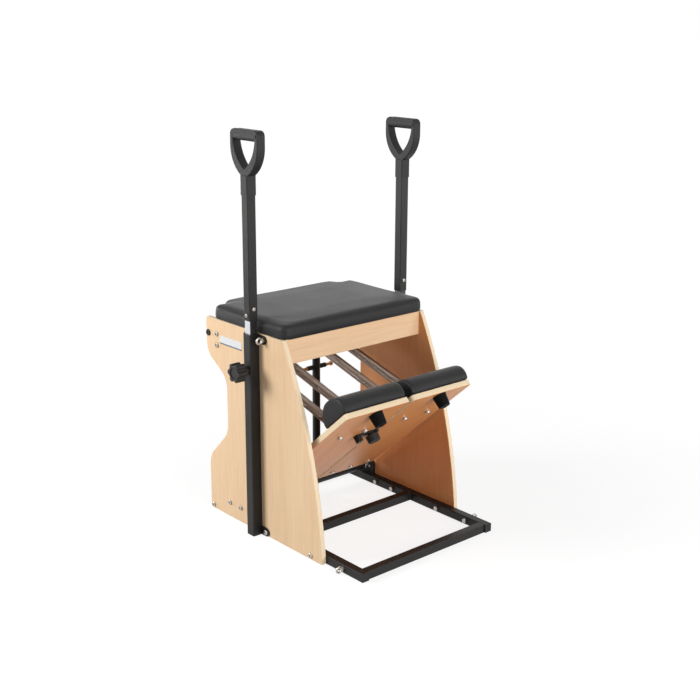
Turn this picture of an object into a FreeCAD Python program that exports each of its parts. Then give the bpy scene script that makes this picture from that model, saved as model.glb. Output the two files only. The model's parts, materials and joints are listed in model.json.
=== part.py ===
import FreeCAD, Part
import math
import os

V = FreeCAD.Vector
X_AXIS = V(1, 0, 0)
Y_AXIS = V(0, 1, 0)
Z_AXIS = V(0, 0, 1)
RIGHT_ANGLE = 90.0
HALF_TURN = 180.0
FULL_TURN = 360.0
SIDES = (("left", -1), ("right", 1))
PARALLEL_SHARE = 0.999

# Overall frame: x across the chair, front at -y, floor at z = 0, origin in the middle of the footprint
base_length = 675.0
y_front = -base_length / 2
y_rear = base_length / 2
overrun = 1.0

# Side panels of plywood
panel_outer = 266.0
panel_thick = 15.0
panel_inner = panel_outer - panel_thick
panel_height = 600.0
panel_top_depth = 361.5
base_toe = 147.5
panel_base_depth = base_length - base_toe
panel_bulge_depth_share = 0.59
panel_bulge_depth = panel_top_depth + panel_bulge_depth_share * (panel_base_depth - panel_top_depth)
panel_front_top_y = y_rear - panel_top_depth
panel_front_bulge_y = y_rear - panel_bulge_depth
panel_front_low_y = y_rear - panel_base_depth
panel_front_bulge_share = 0.595
waist_depth = 96.5
upper_bend_drop = 138.0
upper_bend_z = panel_height - upper_bend_drop
upper_bend_slope = 58.0
upper_bend_radius = 60.0
lower_bend_z = 216.0
lower_bend_slope = 45.0
lower_bend_radius = 70.0
panel_corner_radius = 6.0
arris_radius = 2.0

# Threaded fasteners
bolt_radius = 4.0
bolt_clearance = 0.25
bolt_head_radius = 7.5
bolt_head_height = 4.4
nut_flats = 13.0
nut_height = 7.0
socket_radius = 2.6
socket_depth = 2.2

# Front apron board
apron_setback = 4.0
apron_front_y = panel_front_top_y + apron_setback
apron_thick = 15.0
apron_drop = 72.0

# Seat board and cushion
seat_side_inset = 1.0
seat_half_width = panel_outer - seat_side_inset
seat_front_overhang = 6.0
seat_front_y = panel_front_top_y - seat_front_overhang
seat_rear_inset = 1.0
seat_rear_y = y_rear - seat_rear_inset
seat_shoulder_step = 30.0
seat_front_radius = 28.0
seat_side_radius = 20.0
seat_bend_radius = 22.0
seat_shoulder_width = 34.0
seat_board_thick = 12.0
seat_board_inset = 6.0
seat_wrap_clearance = 0.3
seat_thick = 42.0
seat_edge_inset = 17.0
seat_layer_shares = ((0.0, 0.235), (0.19, 0.035), (0.62, 0.0), (0.83, 0.18), (0.95, 0.53), (1.0, 1.0))
seat_crown_rise = 3.0
seat_crown_share = 0.55
bracket_leg = 36.0
bracket_width = 30.0
bracket_thick = 3.0
bracket_front_gap = 10.0
bracket_rear_inset = 101.5
bracket_front_y = apron_front_y + apron_thick + bracket_front_gap + bracket_width / 2
bracket_rear_y = seat_rear_y - bracket_rear_inset
screw_head_radius = 4.0
screw_head_height = 1.6

# Base tubes
tube_size = 25.0
tube_wall = 1.5
tube_round = 2.0
rail_outer = panel_inner
rail_inner = rail_outer - tube_size
end_cap_thick = 3.0
end_cap_plug = 6.0
end_cap_clearance = 0.2
front_bar_setback = 16.0
front_bar_y = y_front + front_bar_setback
middle_bar_setback = 325.5
middle_bar_y = y_front + middle_bar_setback
rear_bar_setback = 57.0
rear_bar_y = y_rear - rear_bar_setback
base_bolt_z = tube_size / 2
base_bolt_inset = 50.0
base_bolt_y = panel_front_low_y + base_bolt_inset
rear_bolt_setback = 15.5
rear_bolt_y = y_rear - rear_bolt_setback

# Rear spring posts with pegs
post_x = 122.0
post_radius = 12.5
post_wall = 2.0
post_seat = 1.0
post_y = rear_bar_y + tube_size / 2 + post_radius - post_seat
post_top_gap = 3.0
top_rail_drop = 60.0
top_rail_z = panel_height - top_rail_drop
top_rail_plate_thick = 6.0
top_rail_plate_height = 62.0
top_rail_plate_lead = 10.5
top_rail_plate_tail = 5.0
top_rail_front_y = rear_bar_y - tube_size / 2
top_rail_bolt_setback = 53.0
top_rail_bolt_y = y_rear - top_rail_bolt_setback
top_rail_bolt_pitch = 34.0
peg_radius = 5.0
peg_half_length = 62.0
peg_flange_radius = 8.0
peg_flange_thick = 4.0
peg_sleeve_radius = 7.5
peg_sleeve_end = 36.0
peg_drop = 54.3
peg_top_z = top_rail_z - peg_drop
peg_pitch = 36.5
peg_rows = 4
peg_clearance = 0.1
spring_offset = 45.5
carry_bar_radius = 9.0
carry_bar_setback = 11.5
carry_bar_drop = 47.0
carry_bar_y = y_rear - carry_bar_setback
carry_bar_z = panel_height - carry_bar_drop
carry_cap_radius = 9.5
carry_cap_height = 4.0
post_top_z = carry_bar_z - carry_bar_radius - post_top_gap

# Pedal hinge
hinge_setback = 132.5
hinge_rise = 23.0
hinge_y = y_rear - hinge_setback
hinge_z = tube_size + hinge_rise
pedal_angle = 41.0
axle_radius = 10.0
axle_seat_clearance = 0.05
axle_running_clearance = 0.06
axle_end_gap = 0.3
axle_plate_thick = 8.0
axle_plate_lead = 39.0
axle_plate_tail = 57.0
axle_plate_rise = 18.0
axle_plate_round = 10.0
axle_plate_bolt_lead = 20.5
axle_plate_bolt_tail = 33.0
axle_plate_bolt_drop = 2.0
hinge_sleeve_radius = 14.0
hinge_bush_radius = 12.0
hinge_bush_length = 24.0
hinge_bush_flange = 2.0
hinge_side_gap = 0.5
hinge_fit_clearance = 0.02

# Pedal boards, measured along the board from the hinge axis and square to it
pedal_inner = 6.0
pedal_side_gap = 16.0
pedal_outer = panel_inner - pedal_side_gap
pedal_start = 50.0
pedal_end = 601.0
pedal_thick = 16.5
pedal_under = -12.0
pedal_top = pedal_under + pedal_thick
pedal_corner_radius = 10.0
leaf_start = 4.0
leaf_end = 130.0
leaf_thick = 4.0
leaf_inset = 10.0
leaf_bolt_along = 80.0
leaf_bolt_pitch = 75.0
pedal_middle = (pedal_inner + pedal_outer) / 2
dome_nut_radius = 7.0
dome_nut_height = 9.0

# Foot pads
pad_overhang = 2.0
pad_base = 106.0
pad_rear = pedal_end + pad_overhang - pad_base
pad_height = 61.5
pad_shares = ((0.0, 0.0), (-0.005, 0.34), (0.11, 0.68), (0.23, 0.87), (0.39, 0.99), (0.57, 1.0),
              (0.745, 0.94), (0.915, 0.81), (1.015, 0.6), (1.05, 0.36), (1.0, 0.0))
pad_inner = 12.0
pad_end_length = 12.0
pad_end_shares = ((0.0, 0.93), (0.33, 0.985), (1.0, 1.0))
pad_pivot_share = 0.55

# Rubber stoppers under the pedals
stopper_setback = 22.5
stopper_along = pedal_end - stopper_setback
stopper_base_radius = 20.5
stopper_tip_radius = 17.0
stopper_length = 36.0
stopper_round = 3.0
stopper_bore_radius = 6.0
stopper_bore_depth = 22.0

# Spring eyes on the pedals
eye_setback = 145.0
eye_along = pedal_end - eye_setback
eye_height = 17.5
eye_ring_radius = 11.0
eye_wire_radius = 3.0
eye_collar_radius = 8.0
eye_collar_height = 4.5

# Springs
spring_wire_radius = 1.8
spring_mean_radius = 11.7
spring_turns = 24
spring_lead = 13.0
hook_wire_radius = 2.2
hook_ring_radius = 7.8
spring_plug_radius = 13.5
spring_plug_length = 14.0
hook_reach = 24.0
link_wire_radius = 2.0
link_bend_radius = 7.0
link_bend_past_eye = 4.0
link_reach = 30.0
gap_samples = 1500
gap_least = 0.4

# Pedal connector under the left pedal
connector_setback = 182.0
connector_along = pedal_end - connector_setback
connector_half_width = 9.0
connector_thick = 6.0
connector_gap = 0.3
connector_edge_inset = 3.0
connector_length = 79.0
connector_stud_inset = 22.0
connector_right_x = -pedal_inner - connector_edge_inset
connector_left_x = connector_right_x - connector_length
connector_stud_x = connector_right_x - connector_stud_inset
connector_stud_radius = 4.0
connector_slot_clearance = 0.4
connector_travel = 14.0
connector_tab_depth = 15.0
connector_tab_thick = 14.0
connector_knob_neck_radius = 10.0
connector_knob_neck = 4.0
connector_knob_radius = 20.0
connector_knob_height = 22.0
connector_knob_taper = 2.0
connector_stud_depth = 12.0
guide_edge_inset = 5.0
guide_length = 8.0
guide_right_x = -pedal_inner - guide_edge_inset
guide_left_x = guide_right_x - guide_length
guide_wall = 5.0
guide_roof = 3.0

# Handle sleeves on the panels
sleeve_setback = 242.5
sleeve_y = y_rear - sleeve_setback
sleeve_size = 32.0
sleeve_wall = 1.5
sleeve_round = 3.0
sleeve_x = panel_outer + sleeve_size / 2
lug_reach = 37.5
lug_radius = 12.5
lug_thick = 4.0
lug_low_z = tube_size / 2
lug_inset = 14.0
lug_high_z = panel_height - lug_inset
liner_height = 42.0
liner_clearance = 0.3

# Eye bolts for straps
strap_eye_radius = 8.0
strap_eye_wire = 3.0
strap_eye_stand = 5.0
strap_eye_collar_radius = 8.0
rail_eye_setback = 79.5
rail_eye_y = y_front + rail_eye_setback

# Handles
handle_tube_size = 28.0
inner_tube_size = 24.0
inner_tube_wall = 2.0
handle_gap = 38.0
handle_length = 372.0
handle_low_z = panel_height + handle_gap
handle_high_z = handle_low_z + handle_length
inner_tube_drop = 300.0
inner_tube_overlap = 122.0
inner_tube_low_z = panel_height - inner_tube_drop
inner_tube_high_z = handle_low_z + inner_tube_overlap
handle_bolt_radius = 3.0
handle_bolt_head_radius = 5.5
handle_bolt_head_height = 3.3
handle_side_bolt_rise = 15.0
handle_front_bolt_rise = 33.0
grip_socket_size = 31.5
grip_socket_depth = 28.0
grip_socket_low_z = handle_high_z - grip_socket_depth
grip_fork_rise = 24.0
grip_notch_rise = 41.0
grip_shoulder_rise = 102.0
grip_bar_rise = 130.0
grip_fork_z = handle_high_z + grip_fork_rise
grip_notch_z = handle_high_z + grip_notch_rise
grip_shoulder_z = handle_high_z + grip_shoulder_rise
grip_bar_z = handle_high_z + grip_bar_rise
grip_half_width = 61.0
grip_arm = 13.0
grip_arm_width = 27.0
grip_bar_radius = 15.0
grip_round = 4.0
grip_edge_round = 3.0

# Clamp knobs on the sleeves
knob_drop = 103.0
knob_z = panel_height - knob_drop
knob_boss_radius = 12.0
knob_boss_length = 8.0
knob_gap = 0.5
knob_neck_radius = 14.0
knob_neck_length = 9.0
knob_length = 30.0
knob_core_radius = 22.0
knob_lobe_radius = 8.5
knob_lobe_orbit = 19.5
knob_lobes = 6
knob_stud_radius = 5.0
knob_stud_clearance = 0.3
knob_cap_radius = 15.0
knob_cap_height = 1.5
knob_cap_recess = 3.0


def box(x0, x1, y0, y1, z0, z1):
    return Part.makeBox(x1 - x0, y1 - y0, z1 - z0, V(x0, y0, z0))


def side_box(side, x0, x1, y0, y1, z0, z1):
    low, high = sorted((side * x0, side * x1))
    return box(low, high, y0, y1, z0, z1)


def rod(radius, start, end):
    direction = end - start
    return Part.makeCylinder(radius, direction.Length, start, direction)


def cone(radius_start, radius_end, start, end):
    direction = end - start
    return Part.makeCone(radius_start, radius_end, direction.Length, start, direction)


def hex_prism(flats, start, end):
    direction = end - start
    corner = flats / 2 / math.cos(math.radians(HALF_TURN / 6))
    points = []
    for step in range(7):
        turn = math.radians(FULL_TURN * step / 6)
        points.append(V(corner * math.cos(turn), corner * math.sin(turn), 0))
    prism = Part.Face(Part.makePolygon(points)).extrude(V(0, 0, direction.Length))
    prism.Placement = FreeCAD.Placement(start, FreeCAD.Rotation(Z_AXIS, direction))
    return prism


def fuse(shapes):
    return shapes[0].multiFuse(shapes[1:]).removeSplitter()


def cut_all(shape, tools):
    return shape.cut(Part.makeCompound(tools)) if tools else shape


def edges_along(shape, direction):
    found = []
    for edge in shape.Edges:
        if edge.Curve.TypeId == "Part::GeomLine" and abs(edge.tangentAt(0).dot(direction)) > PARALLEL_SHARE:
            found.append(edge)
    return found


def rounded_box(x0, x1, y0, y1, z0, z1, direction, radius):
    block = box(x0, x1, y0, y1, z0, z1)
    return block.makeFillet(radius, edges_along(block, direction))


def button_head(radius, height, face, direction):
    head = rod(radius, face, face + direction * height)
    top = max(head.Edges, key=lambda edge: edge.CenterOfMass.dot(direction))
    head = head.makeFillet(height / 2, [top])
    socket_floor = face + direction * (height - socket_depth)
    return head.cut(hex_prism(2 * socket_radius, socket_floor, face + direction * (height + socket_depth)))


def bolt(face, direction, length):
    shank = rod(bolt_radius, face, face - direction * length)
    return fuse([button_head(bolt_head_radius, bolt_head_height, face, direction), shank])


def nut(face, direction):
    ring = hex_prism(nut_flats, face, face + direction * nut_height)
    hole = rod(bolt_radius + bolt_clearance, face, face + direction * nut_height)
    return ring.cut(hole)


def write(name, shapes):
    shape = shapes[0] if len(shapes) == 1 else Part.makeCompound(shapes)
    shape.exportStep(os.path.join("parts", name + ".step"))


def bolt_hole(side, y, z, x0, x1, radius=bolt_radius + bolt_clearance):
    return rod(radius, V(side * x0, y, z), V(side * x1, y, z))


# Places of the bolts through each panel
lug_ys = (sleeve_y - lug_reach, sleeve_y + lug_reach)
top_rail_bolt_zs = (top_rail_z - top_rail_bolt_pitch / 2, top_rail_z + top_rail_bolt_pitch / 2)
rail_bolt_ys = (base_bolt_y, rear_bolt_y)
panel_bolts = [(y, base_bolt_z) for y in rail_bolt_ys]
panel_bolts += [(y, z) for y in lug_ys for z in (lug_low_z, lug_high_z)]
panel_bolts += [(top_rail_bolt_y, z) for z in top_rail_bolt_zs]
axle_plate_bolt_ys = (hinge_y - axle_plate_bolt_lead, hinge_y + axle_plate_bolt_tail)
axle_plate_bolt_z = hinge_z - axle_plate_bolt_drop
panel_bolts += [(y, axle_plate_bolt_z) for y in axle_plate_bolt_ys]
panel_bolts += [(carry_bar_y, carry_bar_z)]


def arc_point(centre_y, centre_z, radius, degrees):
    turn = math.radians(degrees)
    return V(0, centre_y + radius * math.cos(turn), centre_z + radius * math.sin(turn))


def arc_edge(centre_y, centre_z, radius, from_degrees, to_degrees):
    stops = (from_degrees, (from_degrees + to_degrees) / 2, to_degrees)
    return Part.Arc(*[arc_point(centre_y, centre_z, radius, stop) for stop in stops]).toShape()


def bend_height(slope, radius):
    turn = math.radians(slope)
    straight = (waist_depth - 2 * radius * (1 - math.cos(turn))) / math.sin(turn)
    return 2 * radius * math.sin(turn) + straight * math.cos(turn)


def panel_outline():
    waist_y = y_rear - waist_depth
    low_half = bend_height(lower_bend_slope, lower_bend_radius) / 2
    high_half = bend_height(upper_bend_slope, upper_bend_radius) / 2
    lower = lower_bend_radius
    upper = upper_bend_radius
    bends = [
        arc_edge(y_rear - lower, lower_bend_z - low_half, lower, 0, lower_bend_slope),
        arc_edge(waist_y + lower, lower_bend_z + low_half, lower, HALF_TURN + lower_bend_slope, HALF_TURN),
        arc_edge(waist_y + upper, upper_bend_z - high_half, upper, HALF_TURN, HALF_TURN - upper_bend_slope),
        arc_edge(y_rear - upper, upper_bend_z + high_half, upper, -upper_bend_slope, 0),
    ]
    low_front = V(0, panel_front_low_y, 0)
    low_rear = V(0, y_rear, 0)
    high_rear = V(0, y_rear, panel_height)
    high_front = V(0, panel_front_top_y, panel_height)
    bulge = V(0, panel_front_bulge_y, panel_front_bulge_share * panel_height)
    edges = [Part.makeLine(low_front, low_rear)]
    last = low_rear
    for bend in bends:
        edges += [Part.makeLine(last, bend.firstVertex(True).Point), bend]
        last = bend.lastVertex(True).Point
    edges += [Part.makeLine(last, high_rear), Part.makeLine(high_rear, high_front)]
    edges += [Part.Arc(high_front, bulge, low_front).toShape()]
    return Part.Wire(edges)


def side_panel(side):
    panel = Part.Face(panel_outline()).extrude(V(side * panel_thick, 0, 0))
    corners = []
    for edge in edges_along(panel, X_AXIS):
        middle = edge.CenterOfMass
        if middle.z < arris_radius or (middle.z > panel_height - arris_radius and middle.y > 0):
            corners.append(edge)
    panel = panel.makeFillet(panel_corner_radius, corners)
    rims = [e for e in panel.Edges if abs(e.BoundBox.XLength) < arris_radius]
    panel = panel.makeFillet(arris_radius, rims)
    panel.translate(V(side * panel_inner, 0, 0))
    holes = [bolt_hole(side, y, z, panel_inner - overrun, panel_outer + overrun) for y, z in panel_bolts]
    return cut_all(panel, holes)


def front_apron():
    apron = box(-panel_inner, panel_inner, apron_front_y, apron_front_y + apron_thick,
                panel_height - apron_drop, panel_height)
    return apron.makeFillet(arris_radius, edges_along(apron, X_AXIS))


def seat_outline(inset, z):
    half = seat_half_width - inset
    front = seat_front_y + inset
    rear = seat_rear_y - inset
    shoulder = seat_rear_y - seat_shoulder_step - inset
    front_radius = seat_front_radius - inset
    side_radius = seat_side_radius - inset
    hollow = seat_bend_radius + inset
    crest = seat_bend_radius - inset
    turn = math.acos(1 - seat_shoulder_step / (2 * seat_bend_radius))
    reach = 2 * seat_bend_radius * math.sin(turn)
    hollow_x = seat_half_width - seat_shoulder_width
    crest_x = hollow_x - reach

    def ring_arc(centre_x, centre_y, radius, start, end, sign):
        points = []
        for angle in (start, (start + end) / 2, end):
            x = sign * (centre_x + radius * math.cos(angle))
            points.append(V(x, centre_y + radius * math.sin(angle), z))
        return points

    quarter = math.pi / 2
    chains = [
        ring_arc(half - front_radius, front + front_radius, front_radius, -quarter, 0, 1),
        ring_arc(half - side_radius, shoulder - side_radius, side_radius, 0, quarter, 1),
        ring_arc(hollow_x, shoulder + hollow, hollow, -quarter, -quarter - turn, 1),
        ring_arc(crest_x, rear - crest, crest, quarter - turn, quarter, 1),
    ]
    mirrored = [[V(-p.x, p.y, p.z) for p in reversed(chain)] for chain in reversed(chains)]
    chains += mirrored
    edges = []
    for index, chain in enumerate(chains):
        following = chains[(index + 1) % len(chains)]
        edges.append(Part.Arc(*chain).toShape())
        if (chain[2] - following[0]).Length > seat_wrap_clearance / 10:
            edges.append(Part.makeLine(chain[2], following[0]))
    return Part.Wire(edges)


def seat_board():
    outline = seat_outline(seat_board_inset, panel_height)
    return Part.Face(outline).extrude(V(0, 0, seat_board_thick))


def seat_pad():
    layers = []
    for rise_share, inset_share in seat_layer_shares:
        layers.append(seat_outline(seat_edge_inset * inset_share, panel_height + seat_thick * rise_share))
    crown = layers[-1].copy()
    middle = V(0, (seat_front_y + seat_rear_y) / 2, 0)
    crown.translate(-middle)
    shrink = FreeCAD.Matrix()
    shrink.scale(V(seat_crown_share, seat_crown_share, 1))
    crown = crown.transformGeometry(shrink)
    crown.translate(middle + V(0, 0, seat_crown_rise))
    body = Part.makeLoft(layers, True, True)
    cap = Part.makeLoft([layers[-1], crown], True, True)
    outline = seat_outline(seat_board_inset - seat_wrap_clearance, panel_height)
    pocket = Part.Face(outline).extrude(V(0, 0, seat_board_thick))
    return fuse([body, cap]).cut(pocket)


def seat_brackets():
    pieces = []
    for _, side in SIDES:
        for y in (bracket_front_y, bracket_rear_y):
            y0 = y - bracket_width / 2
            y1 = y + bracket_width / 2
            upright = side_box(side, panel_inner - bracket_thick, panel_inner, y0, y1,
                               panel_height - bracket_leg, panel_height)
            flat = side_box(side, panel_inner - bracket_leg, panel_inner, y0, y1,
                            panel_height - bracket_thick, panel_height)
            pieces.append(fuse([upright, flat]))
            inside = panel_inner - bracket_thick
            wall_face = V(side * inside, y, panel_height - bracket_leg / 2)
            seat_face = V(side * (inside - bracket_leg / 2), y, panel_height - bracket_thick)
            pieces.append(rod(screw_head_radius, wall_face, wall_face - V(side * screw_head_height, 0, 0)))
            pieces.append(rod(screw_head_radius, seat_face, seat_face - V(0, 0, screw_head_height)))
    return pieces


def square_tube(x0, x1, y0, y1, z0, z1, direction, wall, radius):
    outside = rounded_box(x0, x1, y0, y1, z0, z1, direction, radius)
    grow = [wall * (1 - abs(part)) for part in direction]
    inside = box(x0 + grow[0], x1 - grow[0], y0 + grow[1], y1 - grow[1], z0 + grow[2], z1 - grow[2])
    return outside.cut(inside)


def base_rail(side):
    low, high = sorted((side * rail_inner, side * rail_outer))
    rail = square_tube(low, high, y_front + end_cap_thick, y_rear - end_cap_thick, 0, tube_size,
                       Y_AXIS, tube_wall, tube_round)
    ys = rail_bolt_ys + lug_ys + (rail_eye_y,)
    holes = [bolt_hole(side, y, base_bolt_z, rail_inner - overrun, rail_outer + overrun) for y in ys]
    return cut_all(rail, holes)


def cross_bar(y):
    return square_tube(-rail_inner, rail_inner, y - tube_size / 2, y + tube_size / 2, 0, tube_size,
                       X_AXIS, tube_wall, tube_round)


def rail_end_caps():
    caps = []
    for _, side in SIDES:
        low, high = sorted((side * rail_inner, side * rail_outer))
        slack = tube_wall + end_cap_clearance
        for end, inward in ((y_front, 1), (y_rear, -1)):
            face = sorted((end, end + inward * end_cap_thick))
            plug = sorted((end + inward * end_cap_thick, end + inward * (end_cap_thick + end_cap_plug)))
            plate = rounded_box(low, high, face[0], face[1], 0, tube_size, Y_AXIS, tube_round)
            core = box(low + slack, high - slack, plug[0], plug[1], slack, tube_size - slack)
            caps.append(fuse([plate, core]))
    return caps


def rear_top_rail():
    reach = panel_inner - top_rail_plate_thick
    rear = top_rail_front_y + tube_size
    low_z = top_rail_z - tube_size / 2
    rail = square_tube(-reach, reach, top_rail_front_y, rear, low_z, low_z + tube_size,
                       X_AXIS, tube_wall, tube_round)
    pieces = [rail]
    holes = []
    for _, side in SIDES:
        plate = side_box(side, reach, panel_inner, top_rail_front_y - top_rail_plate_lead,
                         rear + top_rail_plate_tail,
                         top_rail_z - top_rail_plate_height / 2, top_rail_z + top_rail_plate_height / 2)
        pieces.append(plate)
        for z in top_rail_bolt_zs:
            holes.append(bolt_hole(side, top_rail_bolt_y, z, reach - overrun, panel_inner + overrun))
    return cut_all(fuse(pieces), holes)


def peg_zs():
    return [peg_top_z - row * peg_pitch for row in range(peg_rows)]


def spring_post(side):
    foot = V(side * post_x, post_y, 0)
    top = V(side * post_x, post_y, post_top_z)
    post = rod(post_radius, foot, top).cut(rod(post_radius - post_wall, foot, top))
    reach = V(post_radius + overrun, 0, 0)
    holes = []
    for z in peg_zs():
        middle = V(side * post_x, post_y, z)
        holes.append(rod(peg_radius + peg_clearance, middle - reach, middle + reach))
    for z in (0, top_rail_z - tube_size / 2):
        holes.append(side_box(side, post_x - post_radius, post_x + post_radius,
                              rear_bar_y - tube_size / 2, rear_bar_y + tube_size / 2, z, z + tube_size))
    return cut_all(post, holes)


def spring_pegs():
    pegs = []
    for _, side in SIDES:
        for z in peg_zs():
            middle = V(side * post_x, post_y, z)
            reach = V(peg_half_length, 0, 0)
            flange = V(peg_flange_thick, 0, 0)
            pegs.append(fuse([
                rod(peg_radius, middle - reach, middle + reach),
                rod(peg_flange_radius, middle + reach - flange, middle + reach),
                rod(peg_flange_radius, middle - reach, middle - reach + flange),
            ]))
    return pegs


def peg_sleeves():
    sleeves = []
    for _, side in SIDES:
        for z in peg_zs():
            for way in (-1, 1):
                start = V(side * post_x + way * post_radius, post_y, z)
                end = V(side * post_x + way * peg_sleeve_end, post_y, z)
                bore = rod(peg_radius + peg_clearance, start, end)
                sleeves.append(rod(peg_sleeve_radius, start, end).cut(bore))
    return sleeves


def carry_bar():
    start = V(-panel_inner, carry_bar_y, carry_bar_z)
    end = V(panel_inner, carry_bar_y, carry_bar_z)
    deep = panel_inner - 2 * panel_thick
    holes = [bolt_hole(side, carry_bar_y, carry_bar_z, deep, panel_outer) for _, side in SIDES]
    pieces = [cut_all(rod(carry_bar_radius, start, end), holes)]
    for _, side in SIDES:
        face = V(side * panel_outer, carry_bar_y, carry_bar_z)
        outward = V(side, 0, 0)
        cap = button_head(carry_cap_radius, carry_cap_height, face, outward)
        pieces.append(fuse([cap, rod(bolt_radius, face, face - outward * (2 * panel_thick))]))
    return pieces


def pedal_axle():
    reach = panel_inner - axle_end_gap
    return rod(axle_radius, V(-reach, hinge_y, hinge_z), V(reach, hinge_y, hinge_z))


def axle_plates():
    plates = []
    for _, side in SIDES:
        low, high = sorted((side * (panel_inner - axle_plate_thick), side * panel_inner))
        plate = box(low, high, hinge_y - axle_plate_lead, hinge_y + axle_plate_tail,
                    tube_size, hinge_z + axle_plate_rise)
        upper = [e for e in edges_along(plate, X_AXIS) if e.CenterOfMass.z > hinge_z]
        plate = plate.makeFillet(axle_plate_round, upper)
        holes = [bolt_hole(side, hinge_y, hinge_z, panel_inner - 2 * axle_plate_thick, panel_outer,
                           axle_radius + axle_seat_clearance)]
        holes += [bolt_hole(side, y, axle_plate_bolt_z, panel_inner - 2 * axle_plate_thick, panel_outer)
                  for y in axle_plate_bolt_ys]
        plates.append(cut_all(plate, holes))
    return plates


def hinge_collar(x0, x1):
    start = V(x0, hinge_y, hinge_z)
    end = V(x1, hinge_y, hinge_z)
    return rod(hinge_sleeve_radius, start, end).cut(rod(axle_radius + axle_seat_clearance, start, end))


# Ends of the hinge sleeves and their bushes along x
bush_inner = pedal_inner + hinge_side_gap
bush_outer = pedal_outer - hinge_side_gap
sleeve_inner = bush_inner + hinge_bush_flange
sleeve_outer = bush_outer - hinge_bush_flange


def axle_collars():
    wall = panel_inner - axle_plate_thick
    start = bush_outer + hinge_side_gap
    middle = bush_inner - hinge_side_gap
    return [hinge_collar(-wall, -start), hinge_collar(-middle, middle), hinge_collar(start, wall)]


def on_pedal(x, along, square):
    return V(x, hinge_y - along, hinge_z + square)


def tilt(shape):
    shape.rotate(V(0, hinge_y, hinge_z), X_AXIS, -pedal_angle)
    return shape


def pedal_block(side, x0, x1, along0, along1, square0, square1):
    return side_box(side, x0, x1, hinge_y - along1, hinge_y - along0, hinge_z + square0, hinge_z + square1)


def leaf_bolt_xs():
    return [pedal_middle + step * leaf_bolt_pitch for step in (-1, 0, 1)]


def eye_xs():
    return [post_x - spring_offset, post_x + spring_offset]


def pedal_holes(side):
    places = [(x, leaf_bolt_along) for x in leaf_bolt_xs()] + [(x, eye_along) for x in eye_xs()]
    radius = bolt_radius + bolt_clearance
    holes = []
    for x, along in places:
        start = on_pedal(side * x, along, pedal_under - pedal_thick)
        end = on_pedal(side * x, along, pedal_top + pedal_thick)
        holes.append(rod(radius, start, end))
    return holes


def pedal_board(side):
    board = pedal_block(side, pedal_inner, pedal_outer, pedal_start, pedal_end, pedal_under, pedal_top)
    front = [e for e in edges_along(board, Z_AXIS) if e.CenterOfMass.y < hinge_y - pedal_end / 2]
    board = board.makeFillet(pedal_corner_radius, front)
    rims = [e for e in board.Edges if e.BoundBox.ZLength < arris_radius]
    board = board.makeFillet(arris_radius, rims)
    holes = pedal_holes(side)
    if side < 0:
        start = on_pedal(connector_stud_x, connector_along, pedal_under)
        end = on_pedal(connector_stud_x, connector_along, pedal_under + connector_stud_depth)
        holes.append(rod(connector_stud_radius + knob_stud_clearance, start, end))
    return tilt(cut_all(board, holes))


def pad_section(x, share):
    points = []
    for along_share, height_share in pad_shares:
        along = pad_rear + pad_base * (pad_pivot_share + share * (along_share - pad_pivot_share))
        points.append(on_pedal(x, along, pedal_top + pad_height * share * height_share))
    curve = Part.BSplineCurve()
    curve.interpolate(points)
    return Part.Wire([curve.toShape(), Part.makeLine(points[-1], points[0])])


def pedal_pad(side):
    stations = [(pad_inner + pad_end_length * step, share) for step, share in pad_end_shares]
    stations += [(pedal_outer - pad_end_length * step, share) for step, share in reversed(pad_end_shares)]
    return tilt(Part.makeLoft([pad_section(side * x, share) for x, share in stations], True, True))


def hinge_leaf(side):
    start = on_pedal(side * sleeve_inner, 0, 0)
    end = on_pedal(side * sleeve_outer, 0, 0)
    barrel = rod(hinge_sleeve_radius, start, end)
    plate = pedal_block(side, sleeve_inner + leaf_inset, sleeve_outer - leaf_inset, leaf_start, leaf_end,
                        pedal_top, pedal_top + leaf_thick)
    bore = rod(hinge_bush_radius, start, end)
    return tilt(cut_all(fuse([barrel, plate]).cut(bore), pedal_holes(side)))


def hinge_bushes(side):
    bushes = []
    for flange, inward in ((bush_inner, 1), (bush_outer, -1)):
        start = on_pedal(side * flange, 0, 0)
        seat = on_pedal(side * (flange + inward * hinge_bush_flange), 0, 0)
        end = on_pedal(side * (flange + inward * (hinge_bush_flange + hinge_bush_length)), 0, 0)
        rim = rod(hinge_sleeve_radius, start, seat)
        barrel = rod(hinge_bush_radius - hinge_fit_clearance, start, end)
        bushes.append(fuse([rim, barrel]).cut(rod(axle_radius + axle_running_clearance, start, end)))
    return bushes


def pedal_bolts(side):
    pieces = []
    for x in leaf_bolt_xs():
        face = on_pedal(side * x, leaf_bolt_along, pedal_under)
        stack = pedal_thick + leaf_thick
        pieces.append(bolt(face, -Z_AXIS, stack + nut_height))
        pieces.append(nut(face + V(0, 0, stack), Z_AXIS))
    for x in eye_xs():
        face = on_pedal(side * x, eye_along, pedal_under)
        cap = rod(dome_nut_radius, face, face - V(0, 0, dome_nut_height))
        tip = min(cap.Edges, key=lambda edge: edge.CenterOfMass.z)
        cap = cap.makeFillet(dome_nut_height / 2, [tip])
        thread = rod(bolt_radius + bolt_clearance, face, face - V(0, 0, nut_height))
        pieces.append(cap.cut(thread))
    return [tilt(piece) for piece in pieces]


def spring_eyes(side):
    eyes = []
    for x in eye_xs():
        top = on_pedal(side * x, eye_along, pedal_top)
        centre = top + V(0, 0, eye_height)
        ring = Part.makeTorus(eye_ring_radius, eye_wire_radius, centre, X_AXIS)
        collar = rod(eye_collar_radius, top, top + V(0, 0, eye_collar_height))
        neck = rod(bolt_radius, top, centre - V(0, 0, eye_ring_radius))
        shank = rod(bolt_radius, top, top - V(0, 0, pedal_thick + nut_height))
        eyes.append(tilt(fuse([ring, collar, neck, shank])))
    return eyes


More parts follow.
